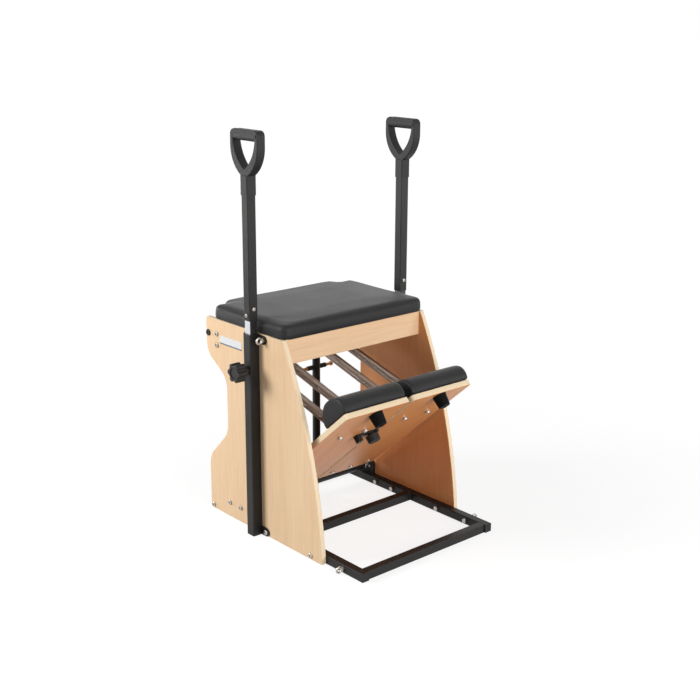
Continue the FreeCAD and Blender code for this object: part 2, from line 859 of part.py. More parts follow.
def pedal_stopper(side):
    base = on_pedal(side * pedal_middle, stopper_along, pedal_under)
    tip = base - V(0, 0, stopper_length)
    body = cone(stopper_base_radius, stopper_tip_radius, base, tip)
    rim = min(body.Edges, key=lambda edge: edge.CenterOfMass.z)
    body = body.makeFillet(stopper_round, [rim])
    bore = rod(stopper_bore_radius, tip, tip + V(0, 0, stopper_bore_depth))
    return tilt(body.cut(bore))


def eye_centre():
    turn = math.radians(pedal_angle)
    along = eye_along
    square = pedal_top + eye_height
    return V(0, hinge_y - along * math.cos(turn) + square * math.sin(turn),
             hinge_z + along * math.sin(turn) + square * math.cos(turn))


peg_point = V(0, post_y, peg_top_z)
spring_span = (eye_centre() - peg_point).Length
spring_way = (eye_centre() - peg_point).normalize()
coil_start = hook_reach + spring_plug_length
coil_end = spring_span - link_reach - spring_plug_length


def along_spring(x, distance):
    return V(x, 0, 0) + peg_point + spring_way * distance


def biarc(start, start_way, end, end_way):
    gap = end - start
    both = start_way + end_way
    spread = 2 * (1 - start_way.dot(end_way))
    pull = gap.dot(both)
    reach = (math.sqrt(pull * pull + spread * gap.dot(gap)) - pull) / spread
    first_knot = start + start_way * reach
    last_knot = end - end_way * reach
    middle = (first_knot + last_knot) * 0.5
    arcs = []
    for one, knot, other in ((start, first_knot, middle), (middle, last_knot, end)):
        chord_middle = (one + other) * 0.5
        half_chord = (other - one).Length / 2
        bow = (knot - chord_middle).Length
        rise = half_chord * math.tan(math.atan2(bow, half_chord) / 2)
        top = chord_middle + (knot - chord_middle).normalize() * rise
        arcs.append(Part.Arc(one, top, other).toShape())
    return arcs


def coil_path():
    length = coil_end - coil_start
    straight = 2 * spring_wire_radius
    low = straight + spring_lead
    pitch = (length - 2 * low) / spring_turns
    rise = pitch / (2 * math.pi)
    quarters = spring_turns * 4
    points = [V(spring_mean_radius, 0, straight)]
    ways = [V(0, 0, 1)]
    for step in range(quarters + 1):
        across = spring_mean_radius * math.cos(math.radians(RIGHT_ANGLE * (step + 1)))
        up = spring_mean_radius * math.sin(math.radians(RIGHT_ANGLE * (step + 1)))
        points.append(V(across, up, low + pitch * step / 4))
        ways.append(V(-up, across, rise).normalize())
    last = FreeCAD.Rotation(Z_AXIS, RIGHT_ANGLE * (quarters + 2))
    points.append(last.multVec(V(spring_mean_radius, 0, length - straight)))
    ways.append(V(0, 0, 1))
    edges = [Part.makeLine(points[0] - V(0, 0, straight), points[0])]
    for index in range(len(points) - 1):
        edges += biarc(points[index], ways[index], points[index + 1], ways[index + 1])
    edges.append(Part.makeLine(points[-1], points[-1] + V(0, 0, straight)))
    return Part.Wire(edges)


def least_self_gap(path):
    spots = path.discretize(Number=gap_samples)
    step = path.Length / (gap_samples - 1)
    skip = int(math.pi * spring_mean_radius / step)
    reach = int(3 * math.pi * spring_mean_radius / step)
    least = path.Length
    for index, spot in enumerate(spots):
        for other in spots[index + skip:index + reach]:
            least = min(least, (other - spot).Length)
    return least - 2 * spring_wire_radius


def coil():
    path = coil_path()
    gap = least_self_gap(path)
    print("least gap between spring turns: %.2f mm" % gap)
    if gap < gap_least:
        raise ValueError("the spring turns come too close")
    mouth = Part.Wire(Part.makeCircle(spring_wire_radius, V(spring_mean_radius, 0, 0), Z_AXIS))
    sweep = Part.BRepOffsetAPI.MakePipeShell(path)
    sweep.add(mouth)
    sweep.build()
    sweep.makeSolid()
    return sweep.shape()


def spring(shape, x):
    placed = shape.copy()
    placed.Placement = FreeCAD.Placement(along_spring(x, coil_start), FreeCAD.Rotation(Z_AXIS, spring_way))
    return placed


def spring_hooks(side):
    hooks = []
    for x in eye_xs():
        place = side * x
        face = along_spring(place, hook_reach)
        ring = Part.makeTorus(hook_ring_radius, hook_wire_radius, along_spring(place, 0), X_AXIS)
        shank = rod(hook_wire_radius, along_spring(place, hook_ring_radius), face)
        plug = rod(spring_plug_radius, face, along_spring(place, coil_start))
        hooks.append(fuse([ring, shank, plug]))
    return hooks


def spring_links(side):
    links = []
    for x in eye_xs():
        bend_at = spring_span + link_bend_past_eye - link_bend_radius
        face_at = coil_end + spring_plug_length
        plug = rod(spring_plug_radius, along_spring(side * x, coil_end), along_spring(side * x, face_at))
        legs = []
        for way in (-1, 1):
            offset = side * x + way * link_bend_radius
            legs.append(rod(link_wire_radius, along_spring(offset, face_at), along_spring(offset, bend_at)))
        centre = along_spring(side * x, bend_at)
        normal = X_AXIS.cross(spring_way)
        bend = Part.makeTorus(link_bend_radius, link_wire_radius, centre, normal)
        half = Part.makeCylinder(2 * link_bend_radius, 2 * link_bend_radius, centre, spring_way)
        links.append(fuse([plug] + legs + [bend.common(half)]))
    return links


def connector_bar():
    high = pedal_under - connector_gap
    low = high - connector_thick
    near = connector_along - connector_half_width
    far = connector_along + connector_half_width
    strip = pedal_block(1, connector_left_x, connector_right_x, near, far, low, high)
    tab = pedal_block(1, connector_left_x, connector_left_x + connector_tab_thick, near, far,
                      low - connector_tab_depth, high)
    radius = connector_stud_radius + connector_slot_clearance
    start = connector_stud_x
    end = connector_stud_x + connector_travel
    slot = [pedal_block(1, start, end, connector_along - radius, connector_along + radius, low, high)]
    for x in (start, end):
        slot.append(rod(radius, on_pedal(x, connector_along, low), on_pedal(x, connector_along, high)))
    return tilt(fuse([strip, tab]).cut(fuse(slot)))


def connector_knob():
    strip_low = pedal_under - connector_gap - connector_thick
    top = on_pedal(connector_stud_x, connector_along, pedal_under + connector_stud_depth - connector_gap)
    neck_top = on_pedal(connector_stud_x, connector_along, strip_low - connector_gap)
    neck_low = neck_top - V(0, 0, connector_knob_neck)
    base = neck_low - V(0, 0, connector_knob_height)
    body = cone(connector_knob_radius, connector_knob_radius - connector_knob_taper, neck_low, base)
    body = body.makeFillet(arris_radius, [e for e in body.Edges if e.Curve.TypeId == "Part::GeomCircle"])
    neck = rod(connector_knob_neck_radius, neck_top, neck_low)
    stud = rod(connector_stud_radius, top, neck_low)
    return tilt(fuse([body, neck, stud]))


def connector_guide():
    half = connector_half_width + connector_gap
    low = pedal_under - 2 * connector_gap - connector_thick
    outside = pedal_block(1, guide_left_x, guide_right_x, connector_along - half - guide_wall,
                          connector_along + half + guide_wall, low - guide_roof, pedal_under)
    lower = [e for e in edges_along(outside, X_AXIS) if e.CenterOfMass.z < hinge_z + low]
    outside = outside.makeFillet(guide_roof, lower)
    inside = pedal_block(1, guide_left_x, guide_right_x, connector_along - half, connector_along + half,
                         low, pedal_under)
    return tilt(outside.cut(inside))


def handle_sleeve(side):
    half = sleeve_size / 2
    low, high = sorted((side * panel_outer, side * (panel_outer + sleeve_size)))
    body = rounded_box(low, high, sleeve_y - half, sleeve_y + half, 0, panel_height, Z_AXIS, sleeve_round)
    pieces = [body]
    holes = []
    for z in (lug_low_z, lug_high_z):
        pieces.append(side_box(side, panel_outer, panel_outer + lug_thick, lug_ys[0], lug_ys[1],
                               z - lug_radius, z + lug_radius))
        for y in lug_ys:
            root = V(side * panel_outer, y, z)
            pieces.append(rod(lug_radius, root, root + V(side * lug_thick, 0, 0)))
            holes.append(bolt_hole(side, y, z, panel_outer, panel_outer + lug_thick))
    face = V(side * (panel_outer + sleeve_size), sleeve_y, knob_z)
    outward = V(side, 0, 0)
    pieces.append(rod(knob_boss_radius, face - outward * sleeve_wall, face + outward * knob_boss_length))
    reach = half - sleeve_wall
    holes.append(box(side * sleeve_x - reach, side * sleeve_x + reach, sleeve_y - reach, sleeve_y + reach,
                     0, panel_height))
    holes.append(rod(knob_stud_radius + knob_stud_clearance, face - outward * half, face + outward * half))
    return fuse(pieces).cut(Part.makeCompound(holes))


def sleeve_liners():
    liners = []
    outer = sleeve_size / 2 - sleeve_wall
    inner = inner_tube_size / 2 + liner_clearance
    for _, side in SIDES:
        x = side * sleeve_x
        low = panel_height - liner_height
        ring = box(x - outer, x + outer, sleeve_y - outer, sleeve_y + outer, low, panel_height)
        bore = box(x - inner, x + inner, sleeve_y - inner, sleeve_y + inner, low, panel_height)
        liners.append(ring.cut(bore))
    return liners


def strap_eye(side, face_x, y, z, grip):
    outward = V(side, 0, 0)
    face = V(side * face_x, y, z)
    centre = face + outward * (strap_eye_stand + strap_eye_radius)
    ring = Part.makeTorus(strap_eye_radius, strap_eye_wire, centre, Y_AXIS)
    collar = rod(strap_eye_collar_radius, face, face + outward * (strap_eye_stand - bolt_clearance))
    shank = rod(bolt_radius, face - outward * (grip + nut_height), face + outward * strap_eye_stand)
    return fuse([ring, collar, shank])


def eye_bolts():
    eyes = []
    for _, side in SIDES:
        grip = lug_thick + panel_thick
        eyes.append(strap_eye(side, panel_outer + lug_thick, lug_ys[0], lug_high_z, grip))
        eyes.append(strap_eye(side, rail_outer, rail_eye_y, base_bolt_z, tube_size))
    return eyes


def frame_fasteners():
    pieces = []
    for _, side in SIDES:
        outward = V(side, 0, 0)
        rail_grip = panel_thick + tube_size + nut_height
        for y in rail_bolt_ys:
            pieces.append(bolt(V(side * panel_outer, y, base_bolt_z), outward, rail_grip))
        for y in lug_ys:
            face = V(side * (panel_outer + lug_thick), y, lug_low_z)
            pieces.append(bolt(face, outward, lug_thick + rail_grip))
        high = V(side * (panel_outer + lug_thick), lug_ys[1], lug_high_z)
        pieces.append(bolt(high, outward, lug_thick + panel_thick + nut_height))
        for y in rail_bolt_ys + lug_ys + (rail_eye_y,):
            pieces.append(nut(V(side * rail_inner, y, base_bolt_z), -outward))
        for y in lug_ys:
            pieces.append(nut(V(side * panel_inner, y, lug_high_z), -outward))
        for z in top_rail_bolt_zs:
            face = V(side * panel_outer, top_rail_bolt_y, z)
            pieces.append(bolt(face, outward, panel_thick + top_rail_plate_thick))
        for y in axle_plate_bolt_ys:
            face = V(side * panel_outer, y, axle_plate_bolt_z)
            pieces.append(bolt(face, outward, panel_thick + axle_plate_thick))
    return pieces


def handle_bolt_places(side):
    x = side * sleeve_x
    half = handle_tube_size / 2
    return [
        (V(x + side * half, sleeve_y, handle_low_z + handle_side_bolt_rise), V(side, 0, 0)),
        (V(x, sleeve_y - half, handle_low_z + handle_front_bolt_rise), V(0, -1, 0)),
    ]


def handle_bolt_holes(side):
    holes = []
    for face, outward in handle_bolt_places(side):
        start = face + outward * sleeve_wall
        holes.append(rod(handle_bolt_radius + bolt_clearance, start, face - outward * (handle_tube_size / 2)))
    return holes


def handle_tube(side):
    x = side * sleeve_x
    half = handle_tube_size / 2
    tube = square_tube(x - half, x + half, sleeve_y - half, sleeve_y + half, handle_low_z, handle_high_z,
                       Z_AXIS, (handle_tube_size - inner_tube_size) / 2, sleeve_round)
    return cut_all(tube, handle_bolt_holes(side))


def inner_tube(side):
    x = side * sleeve_x
    half = inner_tube_size / 2
    tube = square_tube(x - half, x + half, sleeve_y - half, sleeve_y + half,
                       inner_tube_low_z, inner_tube_high_z, Z_AXIS, inner_tube_wall, inner_tube_wall / 2)
    return cut_all(tube, handle_bolt_holes(side))


def handle_bolts(side):
    bolts = []
    for face, outward in handle_bolt_places(side):
        head = button_head(handle_bolt_head_radius, handle_bolt_head_height, face, outward)
        reach = (handle_tube_size - inner_tube_size) / 2 + 2 * inner_tube_wall
        bolts.append(fuse([head, rod(handle_bolt_radius, face, face - outward * reach)]))
    return bolts


def upright_arc(start, end):
    run = end.y - start.y
    rise = end.z - start.z
    radius = (run * run + rise * rise) / (2 * run)
    turn = math.atan2(rise, abs(radius - run)) / 2
    middle = V(end.x, end.y - radius + radius * math.cos(turn), end.z - abs(radius) * math.sin(turn))
    return Part.Arc(start, middle, end).toShape()


def grip_fork(x):
    back = x - grip_arm_width / 2
    half = grip_socket_size / 2
    inner = grip_half_width - grip_arm
    bar_top = grip_bar_z + grip_bar_radius
    sides = []
    for way in (-1, 1):
        root = V(back, sleeve_y + way * half, grip_fork_z)
        shoulder = V(back, sleeve_y + way * grip_half_width, grip_shoulder_z)
        top = V(back, shoulder.y, bar_top)
        foot = V(back, root.y, grip_fork_z - half)
        sides.append((foot, root, shoulder, top))
    (foot, root, shoulder, top), (far_foot, far_root, far_shoulder, far_top) = sides
    outline = [Part.makeLine(far_foot, foot), Part.makeLine(foot, root), upright_arc(root, shoulder),
               Part.makeLine(shoulder, top), Part.makeLine(top, far_top), Part.makeLine(far_top, far_shoulder),
               upright_arc(far_root, far_shoulder), Part.makeLine(far_root, far_foot)]
    notch = V(back, sleeve_y, grip_notch_z)
    ends = [V(back, sleeve_y + way * inner, grip_bar_z) for way in (-1, 1)]
    opening = [upright_arc(notch, ends[0]), Part.makeLine(ends[0], ends[1]), upright_arc(notch, ends[1])]
    width = V(grip_arm_width, 0, 0)
    fork = Part.Face(Part.Wire(outline)).extrude(width)
    tops = [e for e in edges_along(fork, X_AXIS) if e.CenterOfMass.z > grip_bar_z]
    fork = fork.makeFillet(grip_bar_radius, tops)
    fork = fork.cut(Part.Face(Part.Wire(opening)).extrude(width))
    rims = [e for e in fork.Edges if e.BoundBox.XLength < grip_edge_round and e.CenterOfMass.z > grip_fork_z]
    return fork.makeFillet(grip_edge_round, rims)


def handle_grip(side):
    x = side * sleeve_x
    half = grip_socket_size / 2
    socket = rounded_box(x - half, x + half, sleeve_y - half, sleeve_y + half,
                         grip_socket_low_z, grip_fork_z, Z_AXIS, grip_round)
    reach = grip_half_width - grip_arm / 2
    bar = rod(grip_bar_radius, V(x, sleeve_y - reach, grip_bar_z), V(x, sleeve_y + reach, grip_bar_z))
    bore = handle_tube_size / 2
    pocket = rounded_box(x - bore, x + bore, sleeve_y - bore, sleeve_y + bore,
                         grip_socket_low_z, handle_high_z, Z_AXIS, sleeve_round)
    body = fuse([grip_fork(x), socket, bar])
    return body.cut(pocket)


def clamp_knob(side):
    outward = V(side, 0, 0)
    face = V(side * (panel_outer + sleeve_size + knob_boss_length + knob_gap), sleeve_y, knob_z)
    neck_end = face + outward * knob_neck_length
    end = neck_end + outward * knob_length
    lobes = [rod(knob_core_radius, neck_end, end)]
    for lobe in range(knob_lobes):
        turn = math.radians(FULL_TURN * lobe / knob_lobes)
        offset = V(0, knob_lobe_orbit * math.cos(turn), knob_lobe_orbit * math.sin(turn))
        lobes.append(rod(knob_lobe_radius, neck_end + offset, end + offset))
    head = fuse(lobes)
    rims = [e for e in head.Edges if e.BoundBox.XLength < arris_radius]
    head = head.makeFillet(arris_radius, rims)
    floor = end - outward * knob_cap_recess
    recess = rod(knob_cap_radius, floor, end)
    cap = rod(knob_cap_radius - knob_cap_height, floor, end - outward * knob_cap_height)
    tip = V(side * (sleeve_x + inner_tube_size / 2 + liner_clearance), sleeve_y, knob_z)
    stud = rod(knob_stud_radius, tip, neck_end)
    neck = rod(knob_neck_radius, face, neck_end)
    return fuse([head.cut(recess), cap, neck, stud])


os.makedirs("parts", exist_ok=True)
write("front_apron", [front_apron()])
write("seat_board", [seat_board()])
write("seat_pad", [seat_pad()])
write("seat_brackets", seat_brackets())
write("front_cross_bar", [cross_bar(front_bar_y)])
write("middle_cross_bar", [cross_bar(middle_bar_y)])
write("rear_cross_bar", [cross_bar(rear_bar_y)])
write("rail_end_caps", rail_end_caps())
write("rear_top_rail", [rear_top_rail()])
write("spring_pegs", spring_pegs())
write("peg_sleeves", peg_sleeves())
write("carry_bar", carry_bar())
write("pedal_axle", [pedal_axle()] + axle_collars())
write("axle_plates", axle_plates())
write("sleeve_liners", sleeve_liners())
write("eye_bolts", eye_bolts())
write("frame_fasteners", frame_fasteners())
write("connector_bar", [connector_bar()])
write("connector_knob", [connector_knob()])
write("connector_guide", [connector_guide()])
one_coil = coil()
for name, side in SIDES:
    write(name + "_side_panel", [side_panel(side)])
    write(name + "_base_rail", [base_rail(side)])
    write(name + "_spring_post", [spring_post(side)])
    write(name + "_pedal_board", [pedal_board(side)])
    write(name + "_pedal_pad", [pedal_pad(side)])
    write(name + "_hinge_leaf", [hinge_leaf(side)])
    write(name + "_hinge_bushes", hinge_bushes(side))
    write(name + "_pedal_bolts", pedal_bolts(side))
    write(name + "_spring_eyes", spring_eyes(side))
    write(name + "_pedal_stopper", [pedal_stopper(side)])
    write(name + "_inner_spring", [spring(one_coil, side * eye_xs()[0])])
    write(name + "_outer_spring", [spring(one_coil, side * eye_xs()[1])])
    write(name + "_spring_hooks", spring_hooks(side))
    write(name + "_spring_links", spring_links(side))
    write(name + "_handle_sleeve", [handle_sleeve(side)])
    write(name + "_handle_tube", [handle_tube(side)])
    write(name + "_inner_tube", [inner_tube(side)])
    write(name + "_handle_bolts", handle_bolts(side))
    write(name + "_handle_grip", [handle_grip(side)])
    write(name + "_clamp_knob", [clamp_knob(side)])
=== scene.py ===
import bpy
import json
import math
from mathutils import Matrix, Vector


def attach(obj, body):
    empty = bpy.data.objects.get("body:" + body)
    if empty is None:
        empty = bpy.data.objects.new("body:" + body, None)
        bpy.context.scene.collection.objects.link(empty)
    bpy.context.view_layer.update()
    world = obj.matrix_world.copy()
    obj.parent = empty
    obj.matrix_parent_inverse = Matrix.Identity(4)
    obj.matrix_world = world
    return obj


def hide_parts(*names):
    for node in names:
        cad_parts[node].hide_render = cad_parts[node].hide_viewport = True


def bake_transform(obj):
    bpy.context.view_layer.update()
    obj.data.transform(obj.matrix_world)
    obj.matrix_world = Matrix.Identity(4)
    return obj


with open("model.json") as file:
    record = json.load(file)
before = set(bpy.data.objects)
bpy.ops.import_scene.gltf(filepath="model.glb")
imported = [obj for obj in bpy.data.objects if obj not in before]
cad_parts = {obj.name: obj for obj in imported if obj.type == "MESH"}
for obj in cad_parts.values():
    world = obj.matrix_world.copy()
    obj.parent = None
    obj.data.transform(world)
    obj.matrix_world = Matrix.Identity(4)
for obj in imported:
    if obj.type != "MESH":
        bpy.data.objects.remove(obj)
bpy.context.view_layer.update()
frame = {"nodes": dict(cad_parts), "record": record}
nodes = frame["nodes"]
scene = bpy.context.scene
SIDES = (("left", -1), ("right", 1))

# Places taken over from the solid model, in metres
HINGE = Vector((0, 0.205, 0.048))
PEDAL_ANGLE = math.radians(41.0)
PEG = Vector((0, 0.3045, 0.4857))
SPRING_WAY = Vector((0, -0.961937, -0.273272))
SPRING_XS = (("inner", 0.0765), ("outer", 0.1675))
COIL_START = 0.0380
COIL_END = 0.4022
PANEL_TOP = 0.600
PANEL_OUTER = 0.266
RAIL_INNER = 0.226
TUBE_SIZE = 0.025
BAR_YS = (-0.3215, -0.012, 0.2805)
TOP_RAIL_LOW = 0.5275
TOP_RAIL_END = 0.245
POST_X = 0.122


# Small helpers for node materials

def node(tree, kind, inputs=None, **settings):
    made = tree.nodes.new(kind)
    for key, value in settings.items():
        setattr(made, key, value)
    for key, value in (inputs or {}).items():
        if isinstance(value, bpy.types.NodeSocket):
            tree.links.new(value, made.inputs[key])
        else:
            made.inputs[key].default_value = value
    return made


def new_material(name):
    made = bpy.data.materials.new(name)
    made.use_nodes = True
    return made, made.node_tree, made.node_tree.nodes["Principled BSDF"]


def maths(tree, operation, first, second=0.0):
    made = node(tree, "ShaderNodeMath", operation=operation)
    for socket, value in zip(made.inputs, (first, second)):
        if isinstance(value, bpy.types.NodeSocket):
            tree.links.new(value, socket)
        else:
            socket.default_value = value
    return made.outputs[0]


def ramp(tree, factor, stops):
    made = node(tree, "ShaderNodeValToRGB", {"Fac": factor})
    elements = made.color_ramp.elements
    while len(elements) < len(stops):
        elements.new(0.5)
    for element, (place, colour) in zip(elements, stops):
        element.position = place
        element.color = (colour, colour, colour, 1) if isinstance(colour, float) else (*colour, 1)
    return made.outputs["Color"]


def noise(tree, vector, scale, detail=2.0, rough=0.5, distortion=0.0):
    made = node(tree, "ShaderNodeTexNoise", {"Vector": vector, "Scale": scale, "Detail": detail,
                                            "Roughness": rough, "Distortion": distortion})
    return made.outputs["Fac"]


def blend_colour(tree, factor, first, second, mode="MIX"):
    made = node(tree, "ShaderNodeMix", data_type="RGBA", blend_type=mode)
    for index, value in ((0, factor), (6, first), (7, second)):
        if isinstance(value, bpy.types.NodeSocket):
            tree.links.new(value, made.inputs[index])
        else:
            made.inputs[index].default_value = value if index == 0 else (*value, 1)
    return made.outputs[2]


def stretched(tree, parts, factors):
    scaled = [maths(tree, "MULTIPLY", part, factor) for part, factor in zip(parts, factors)]
    return node(tree, "ShaderNodeCombineXYZ", {"X": scaled[0], "Y": scaled[1], "Z": scaled[2]}).outputs[0]


def bump(tree, shader, height, strength, distance):
    made = node(tree, "ShaderNodeBump", {"Height": height, "Strength": strength, "Distance": distance})
    tree.links.new(made.outputs["Normal"], shader.inputs["Normal"])


def object_space(tree):
    return node(tree, "ShaderNodeTexCoord").outputs["Object"]


# Materials

FACE_COSINE = 0.72
PLY_PAIR = 0.00272
# Deeper, warmer tone multiplied onto inner faces and undersides as painted shade
PAINTED_SHADE_TONE = (0.92, 0.56, 0.34)
# Painted shade on the front faces of the inner tubes: how far they must face the front, and the black
# painted there
FRONT_SHADE_COSINE = 0.8
FRONT_SHADE_BLACK = (0.013, 0.012, 0.0115)


def plywood(name, order, turn=0.0, tint=(1.0, 1.0, 1.0), painted_shade_side=None):
    """Lacquered ply: order names the axes along the grain, across it and through the sheet.

    The side named here is painted a deeper, warmer tone as painted shade and bounce light: "inside" faces
    the middle of the chair, "under" faces down.
    """
    made, tree, shader = new_material(name)
    coords = node(tree, "ShaderNodeTexCoord")
    place = coords.outputs["Object"]
    facing = coords.outputs["Normal"]
    if turn:
        place = node(tree, "ShaderNodeVectorRotate", {"Vector": place, "Center": HINGE, "Angle": turn},
                     rotation_type="X_AXIS").outputs[0]
        facing = node(tree, "ShaderNodeVectorRotate", {"Vector": facing, "Center": (0, 0, 0), "Angle": turn},
                      rotation_type="X_AXIS").outputs[0]
    split = node(tree, "ShaderNodeSeparateXYZ", {"Vector": place})
    parts = [split.outputs[axis] for axis in order]
    through = node(tree, "ShaderNodeSeparateXYZ", {"Vector": facing}).outputs[order[2]]
    on_face = maths(tree, "GREATER_THAN", maths(tree, "ABSOLUTE", through), FACE_COSINE)

    def toned(red, green, blue):
        return (red * tint[0], green * tint[1], blue * tint[2])

    broad = noise(tree, stretched(tree, parts, (1.3, 7.0, 7.0)), 1.0, 3.0, 0.5, 0.4)
    figure = noise(tree, stretched(tree, parts, (2.2, 42.0, 42.0)), 1.0, 6.0, 0.6, 1.1)
    streak = noise(tree, stretched(tree, parts, (9.0, 420.0, 420.0)), 1.0, 3.0, 0.55)
    pores = noise(tree, stretched(tree, parts, (60.0, 1500.0, 1500.0)), 1.0, 1.0, 0.5)
    base = ramp(tree, figure, ((0.30, toned(0.72, 0.49, 0.285)), (0.52, toned(0.78, 0.55, 0.335)),
                               (0.74, toned(0.825, 0.60, 0.38))))
    base = blend_colour(tree, 0.55, base, ramp(tree, broad, ((0.3, toned(0.74, 0.50, 0.295)),
                                                           (0.7, toned(0.84, 0.62, 0.40)))))
    base = blend_colour(tree, 0.5, base, ramp(tree, streak, ((0.25, 0.80), (0.6, 1.0))), "MULTIPLY")
    base = blend_colour(tree, 0.6, base, ramp(tree, pores, ((0.26, 0.72), (0.36, 1.0))), "MULTIPLY")

    # Painted shade: the side named above is multiplied by the deeper, warmer tone
    if painted_shade_side:
        turned = maths(tree, "MULTIPLY", parts[2], through) if painted_shade_side == "inside" else through
        base = blend_colour(tree, maths(tree, "LESS_THAN", turned, 0.0), base, PAINTED_SHADE_TONE, "MULTIPLY")

    layer = maths(tree, "FRACT", maths(tree, "MULTIPLY", parts[2], 1 / PLY_PAIR))
    ends = noise(tree, stretched(tree, parts, (700.0, 700.0, 300.0)), 1.0, 2.0)
    plies = ramp(tree, layer, ((0.0, toned(0.88, 0.73, 0.51)), (0.44, toned(0.91, 0.77, 0.56)),
                               (0.50, toned(0.66, 0.47, 0.28)), (0.56, toned(0.83, 0.66, 0.44)),
                               (0.96, toned(0.85, 0.68, 0.46)), (1.0, toned(0.66, 0.47, 0.28))))
    plies = blend_colour(tree, 0.4, plies, ramp(tree, ends, ((0.3, 0.78), (0.6, 1.0))), "MULTIPLY")
    tree.links.new(blend_colour(tree, on_face, plies, base), shader.inputs["Base Color"])
    tree.links.new(ramp(tree, figure, ((0.3, 0.46), (0.7, 0.37))), shader.inputs["Roughness"])
    shader.inputs["Specular IOR Level"].default_value = 0.3
    shader.inputs["Coat Weight"].default_value = 0.04
    shader.inputs["Coat Roughness"].default_value = 0.28
    height = maths(tree, "ADD", maths(tree, "MULTIPLY", pores, 0.5), streak)
    bump(tree, shader, height, 0.10, 0.0003)
    return made


def coated(name, colour, rough, grain, depth, shine=0.25, spread=0.25):
    """Paint, moulded plastic or rubber: a fine surface texture with slow changes of tone and gloss."""
    made, tree, shader = new_material(name)
    place = object_space(tree)
    slow = noise(tree, place, 9.0, 3.0, 0.6)
    fine = noise(tree, place, grain, 2.0, 0.6)
    darker = tuple(part * (1 - spread) for part in colour)
    lighter = tuple(part * (1 + spread) for part in colour)
    base = ramp(tree, slow, ((0.3, darker), (0.7, lighter)))
    base = blend_colour(tree, 0.35, base, ramp(tree, fine, ((0.35, 0.7), (0.65, 1.0))), "MULTIPLY")
    tree.links.new(base, shader.inputs["Base Color"])
    gloss = maths(tree, "ADD", maths(tree, "MULTIPLY", slow, 0.10), maths(tree, "MULTIPLY", fine, 0.08))
    tree.links.new(maths(tree, "ADD", gloss, rough - 0.09), shader.inputs["Roughness"])
    shader.inputs["Specular IOR Level"].default_value = shine
    bump(tree, shader, fine, 0.25, depth)
    return made


def bare_metal(name, colour, rough, stretch, spread=0.12, brushed=0.10):
    """Metal with drawn or brushed lines: stretch gives the line density along x, y and z."""
    made, tree, shader = new_material(name)
    place = object_space(tree)
    split = node(tree, "ShaderNodeSeparateXYZ", {"Vector": place})
    parts = [split.outputs[axis] for axis in "XYZ"]
    lines = noise(tree, stretched(tree, parts, stretch), 1.0, 3.0, 0.6)
    stain = noise(tree, place, 26.0, 4.0, 0.6)
    darker = tuple(part * (1 - spread) for part in colour)
    base = ramp(tree, stain, ((0.32, darker), (0.68, colour)))
    base = blend_colour(tree, 0.4, base, ramp(tree, lines, ((0.3, 0.8), (0.7, 1.0))), "MULTIPLY")
    tree.links.new(base, shader.inputs["Base Color"])
    shader.inputs["Metallic"].default_value = 1.0
    gloss = maths(tree, "ADD", maths(tree, "MULTIPLY", stain, 0.14), maths(tree, "MULTIPLY", lines, 0.10))
    tree.links.new(maths(tree, "ADD", gloss, rough - 0.12), shader.inputs["Roughness"])
    bump(tree, shader, lines, brushed, 0.0002)
    return made


def vinyl(name):
    """Upholstery vinyl: pebbled grain about a millimetre across, with finer creases in it."""
    made, tree, shader = new_material(name)
    place = object_space(tree)
    bent = node(tree, "ShaderNodeTexNoise", {"Vector": place, "Scale": 300.0, "Detail": 1.0})
    shifted = node(tree, "ShaderNodeVectorMath", {0: place}, operation="ADD")
    offset = node(tree, "ShaderNodeVectorMath", {0: bent.outputs["Color"]}, operation="SCALE")
    offset.inputs["Scale"].default_value = 0.0012
    tree.links.new(offset.outputs[0], shifted.inputs[1])
    cells = node(tree, "ShaderNodeTexVoronoi", {"Vector": shifted.outputs[0], "Scale": 820.0},
                 feature="DISTANCE_TO_EDGE").outputs["Distance"]
    pebble = ramp(tree, cells, ((0.0, 0.0), (0.12, 0.75), (0.4, 1.0)))
    slow = noise(tree, place, 6.0, 3.0, 0.55)
    base = ramp(tree, slow, ((0.3, (0.013, 0.013, 0.0138)), (0.7, (0.019, 0.019, 0.020))))
    base = blend_colour(tree, 0.5, base, ramp(tree, pebble, ((0.0, 0.45), (0.8, 1.0))), "MULTIPLY")
    tree.links.new(base, shader.inputs["Base Color"])
    tree.links.new(ramp(tree, slow, ((0.3, 0.44), (0.7, 0.52))), shader.inputs["Roughness"])
    shader.inputs["Specular IOR Level"].default_value = 0.2
    shader.inputs["Sheen Weight"].default_value = 0.19
    shader.inputs["Sheen Roughness"].default_value = 0.35
    bump(tree, shader, pebble, 0.22, 0.0003)
    return made


black_steel = coated("powder_coat", (0.0125, 0.0115, 0.011), 0.42, 1500.0, 0.00012)
black_plastic = coated("moulded_plastic", (0.014, 0.0133, 0.013), 0.50, 2300.0, 0.0002)
rubber = coated("rubber", (0.006, 0.0058, 0.0057), 0.46, 1200.0, 0.0001, 0.04)
nylon = coated("nylon", (0.66, 0.64, 0.58), 0.42, 900.0, 0.0001, 0.5, 0.08)
zinc = bare_metal("zinc_plate", (0.70, 0.725, 0.745), 0.34, (900.0, 900.0, 14.0), 0.14)
bolt_zinc = bare_metal("yellowed_zinc", (0.52, 0.485, 0.44), 0.30, (600.0, 600.0, 600.0), 0.18)
spring_wire = bare_metal("spring_wire", (0.38, 0.30, 0.25), 0.30, (60.0, 60.0, 60.0), 0.08, 0.02)
stainless = bare_metal("polished_steel", (0.70, 0.68, 0.65), 0.22, (500.0, 500.0, 500.0), 0.12)
# Zinc inner tube, whose front faces get painted shade below
front_shaded_tube = bare_metal("zinc_tube", (0.70, 0.725, 0.745), 0.34, (900.0, 900.0, 14.0), 0.14)
brass = bare_metal("turned_brass", (0.60, 0.40, 0.18), 0.32, (1600.0, 300.0, 300.0), 0.22)


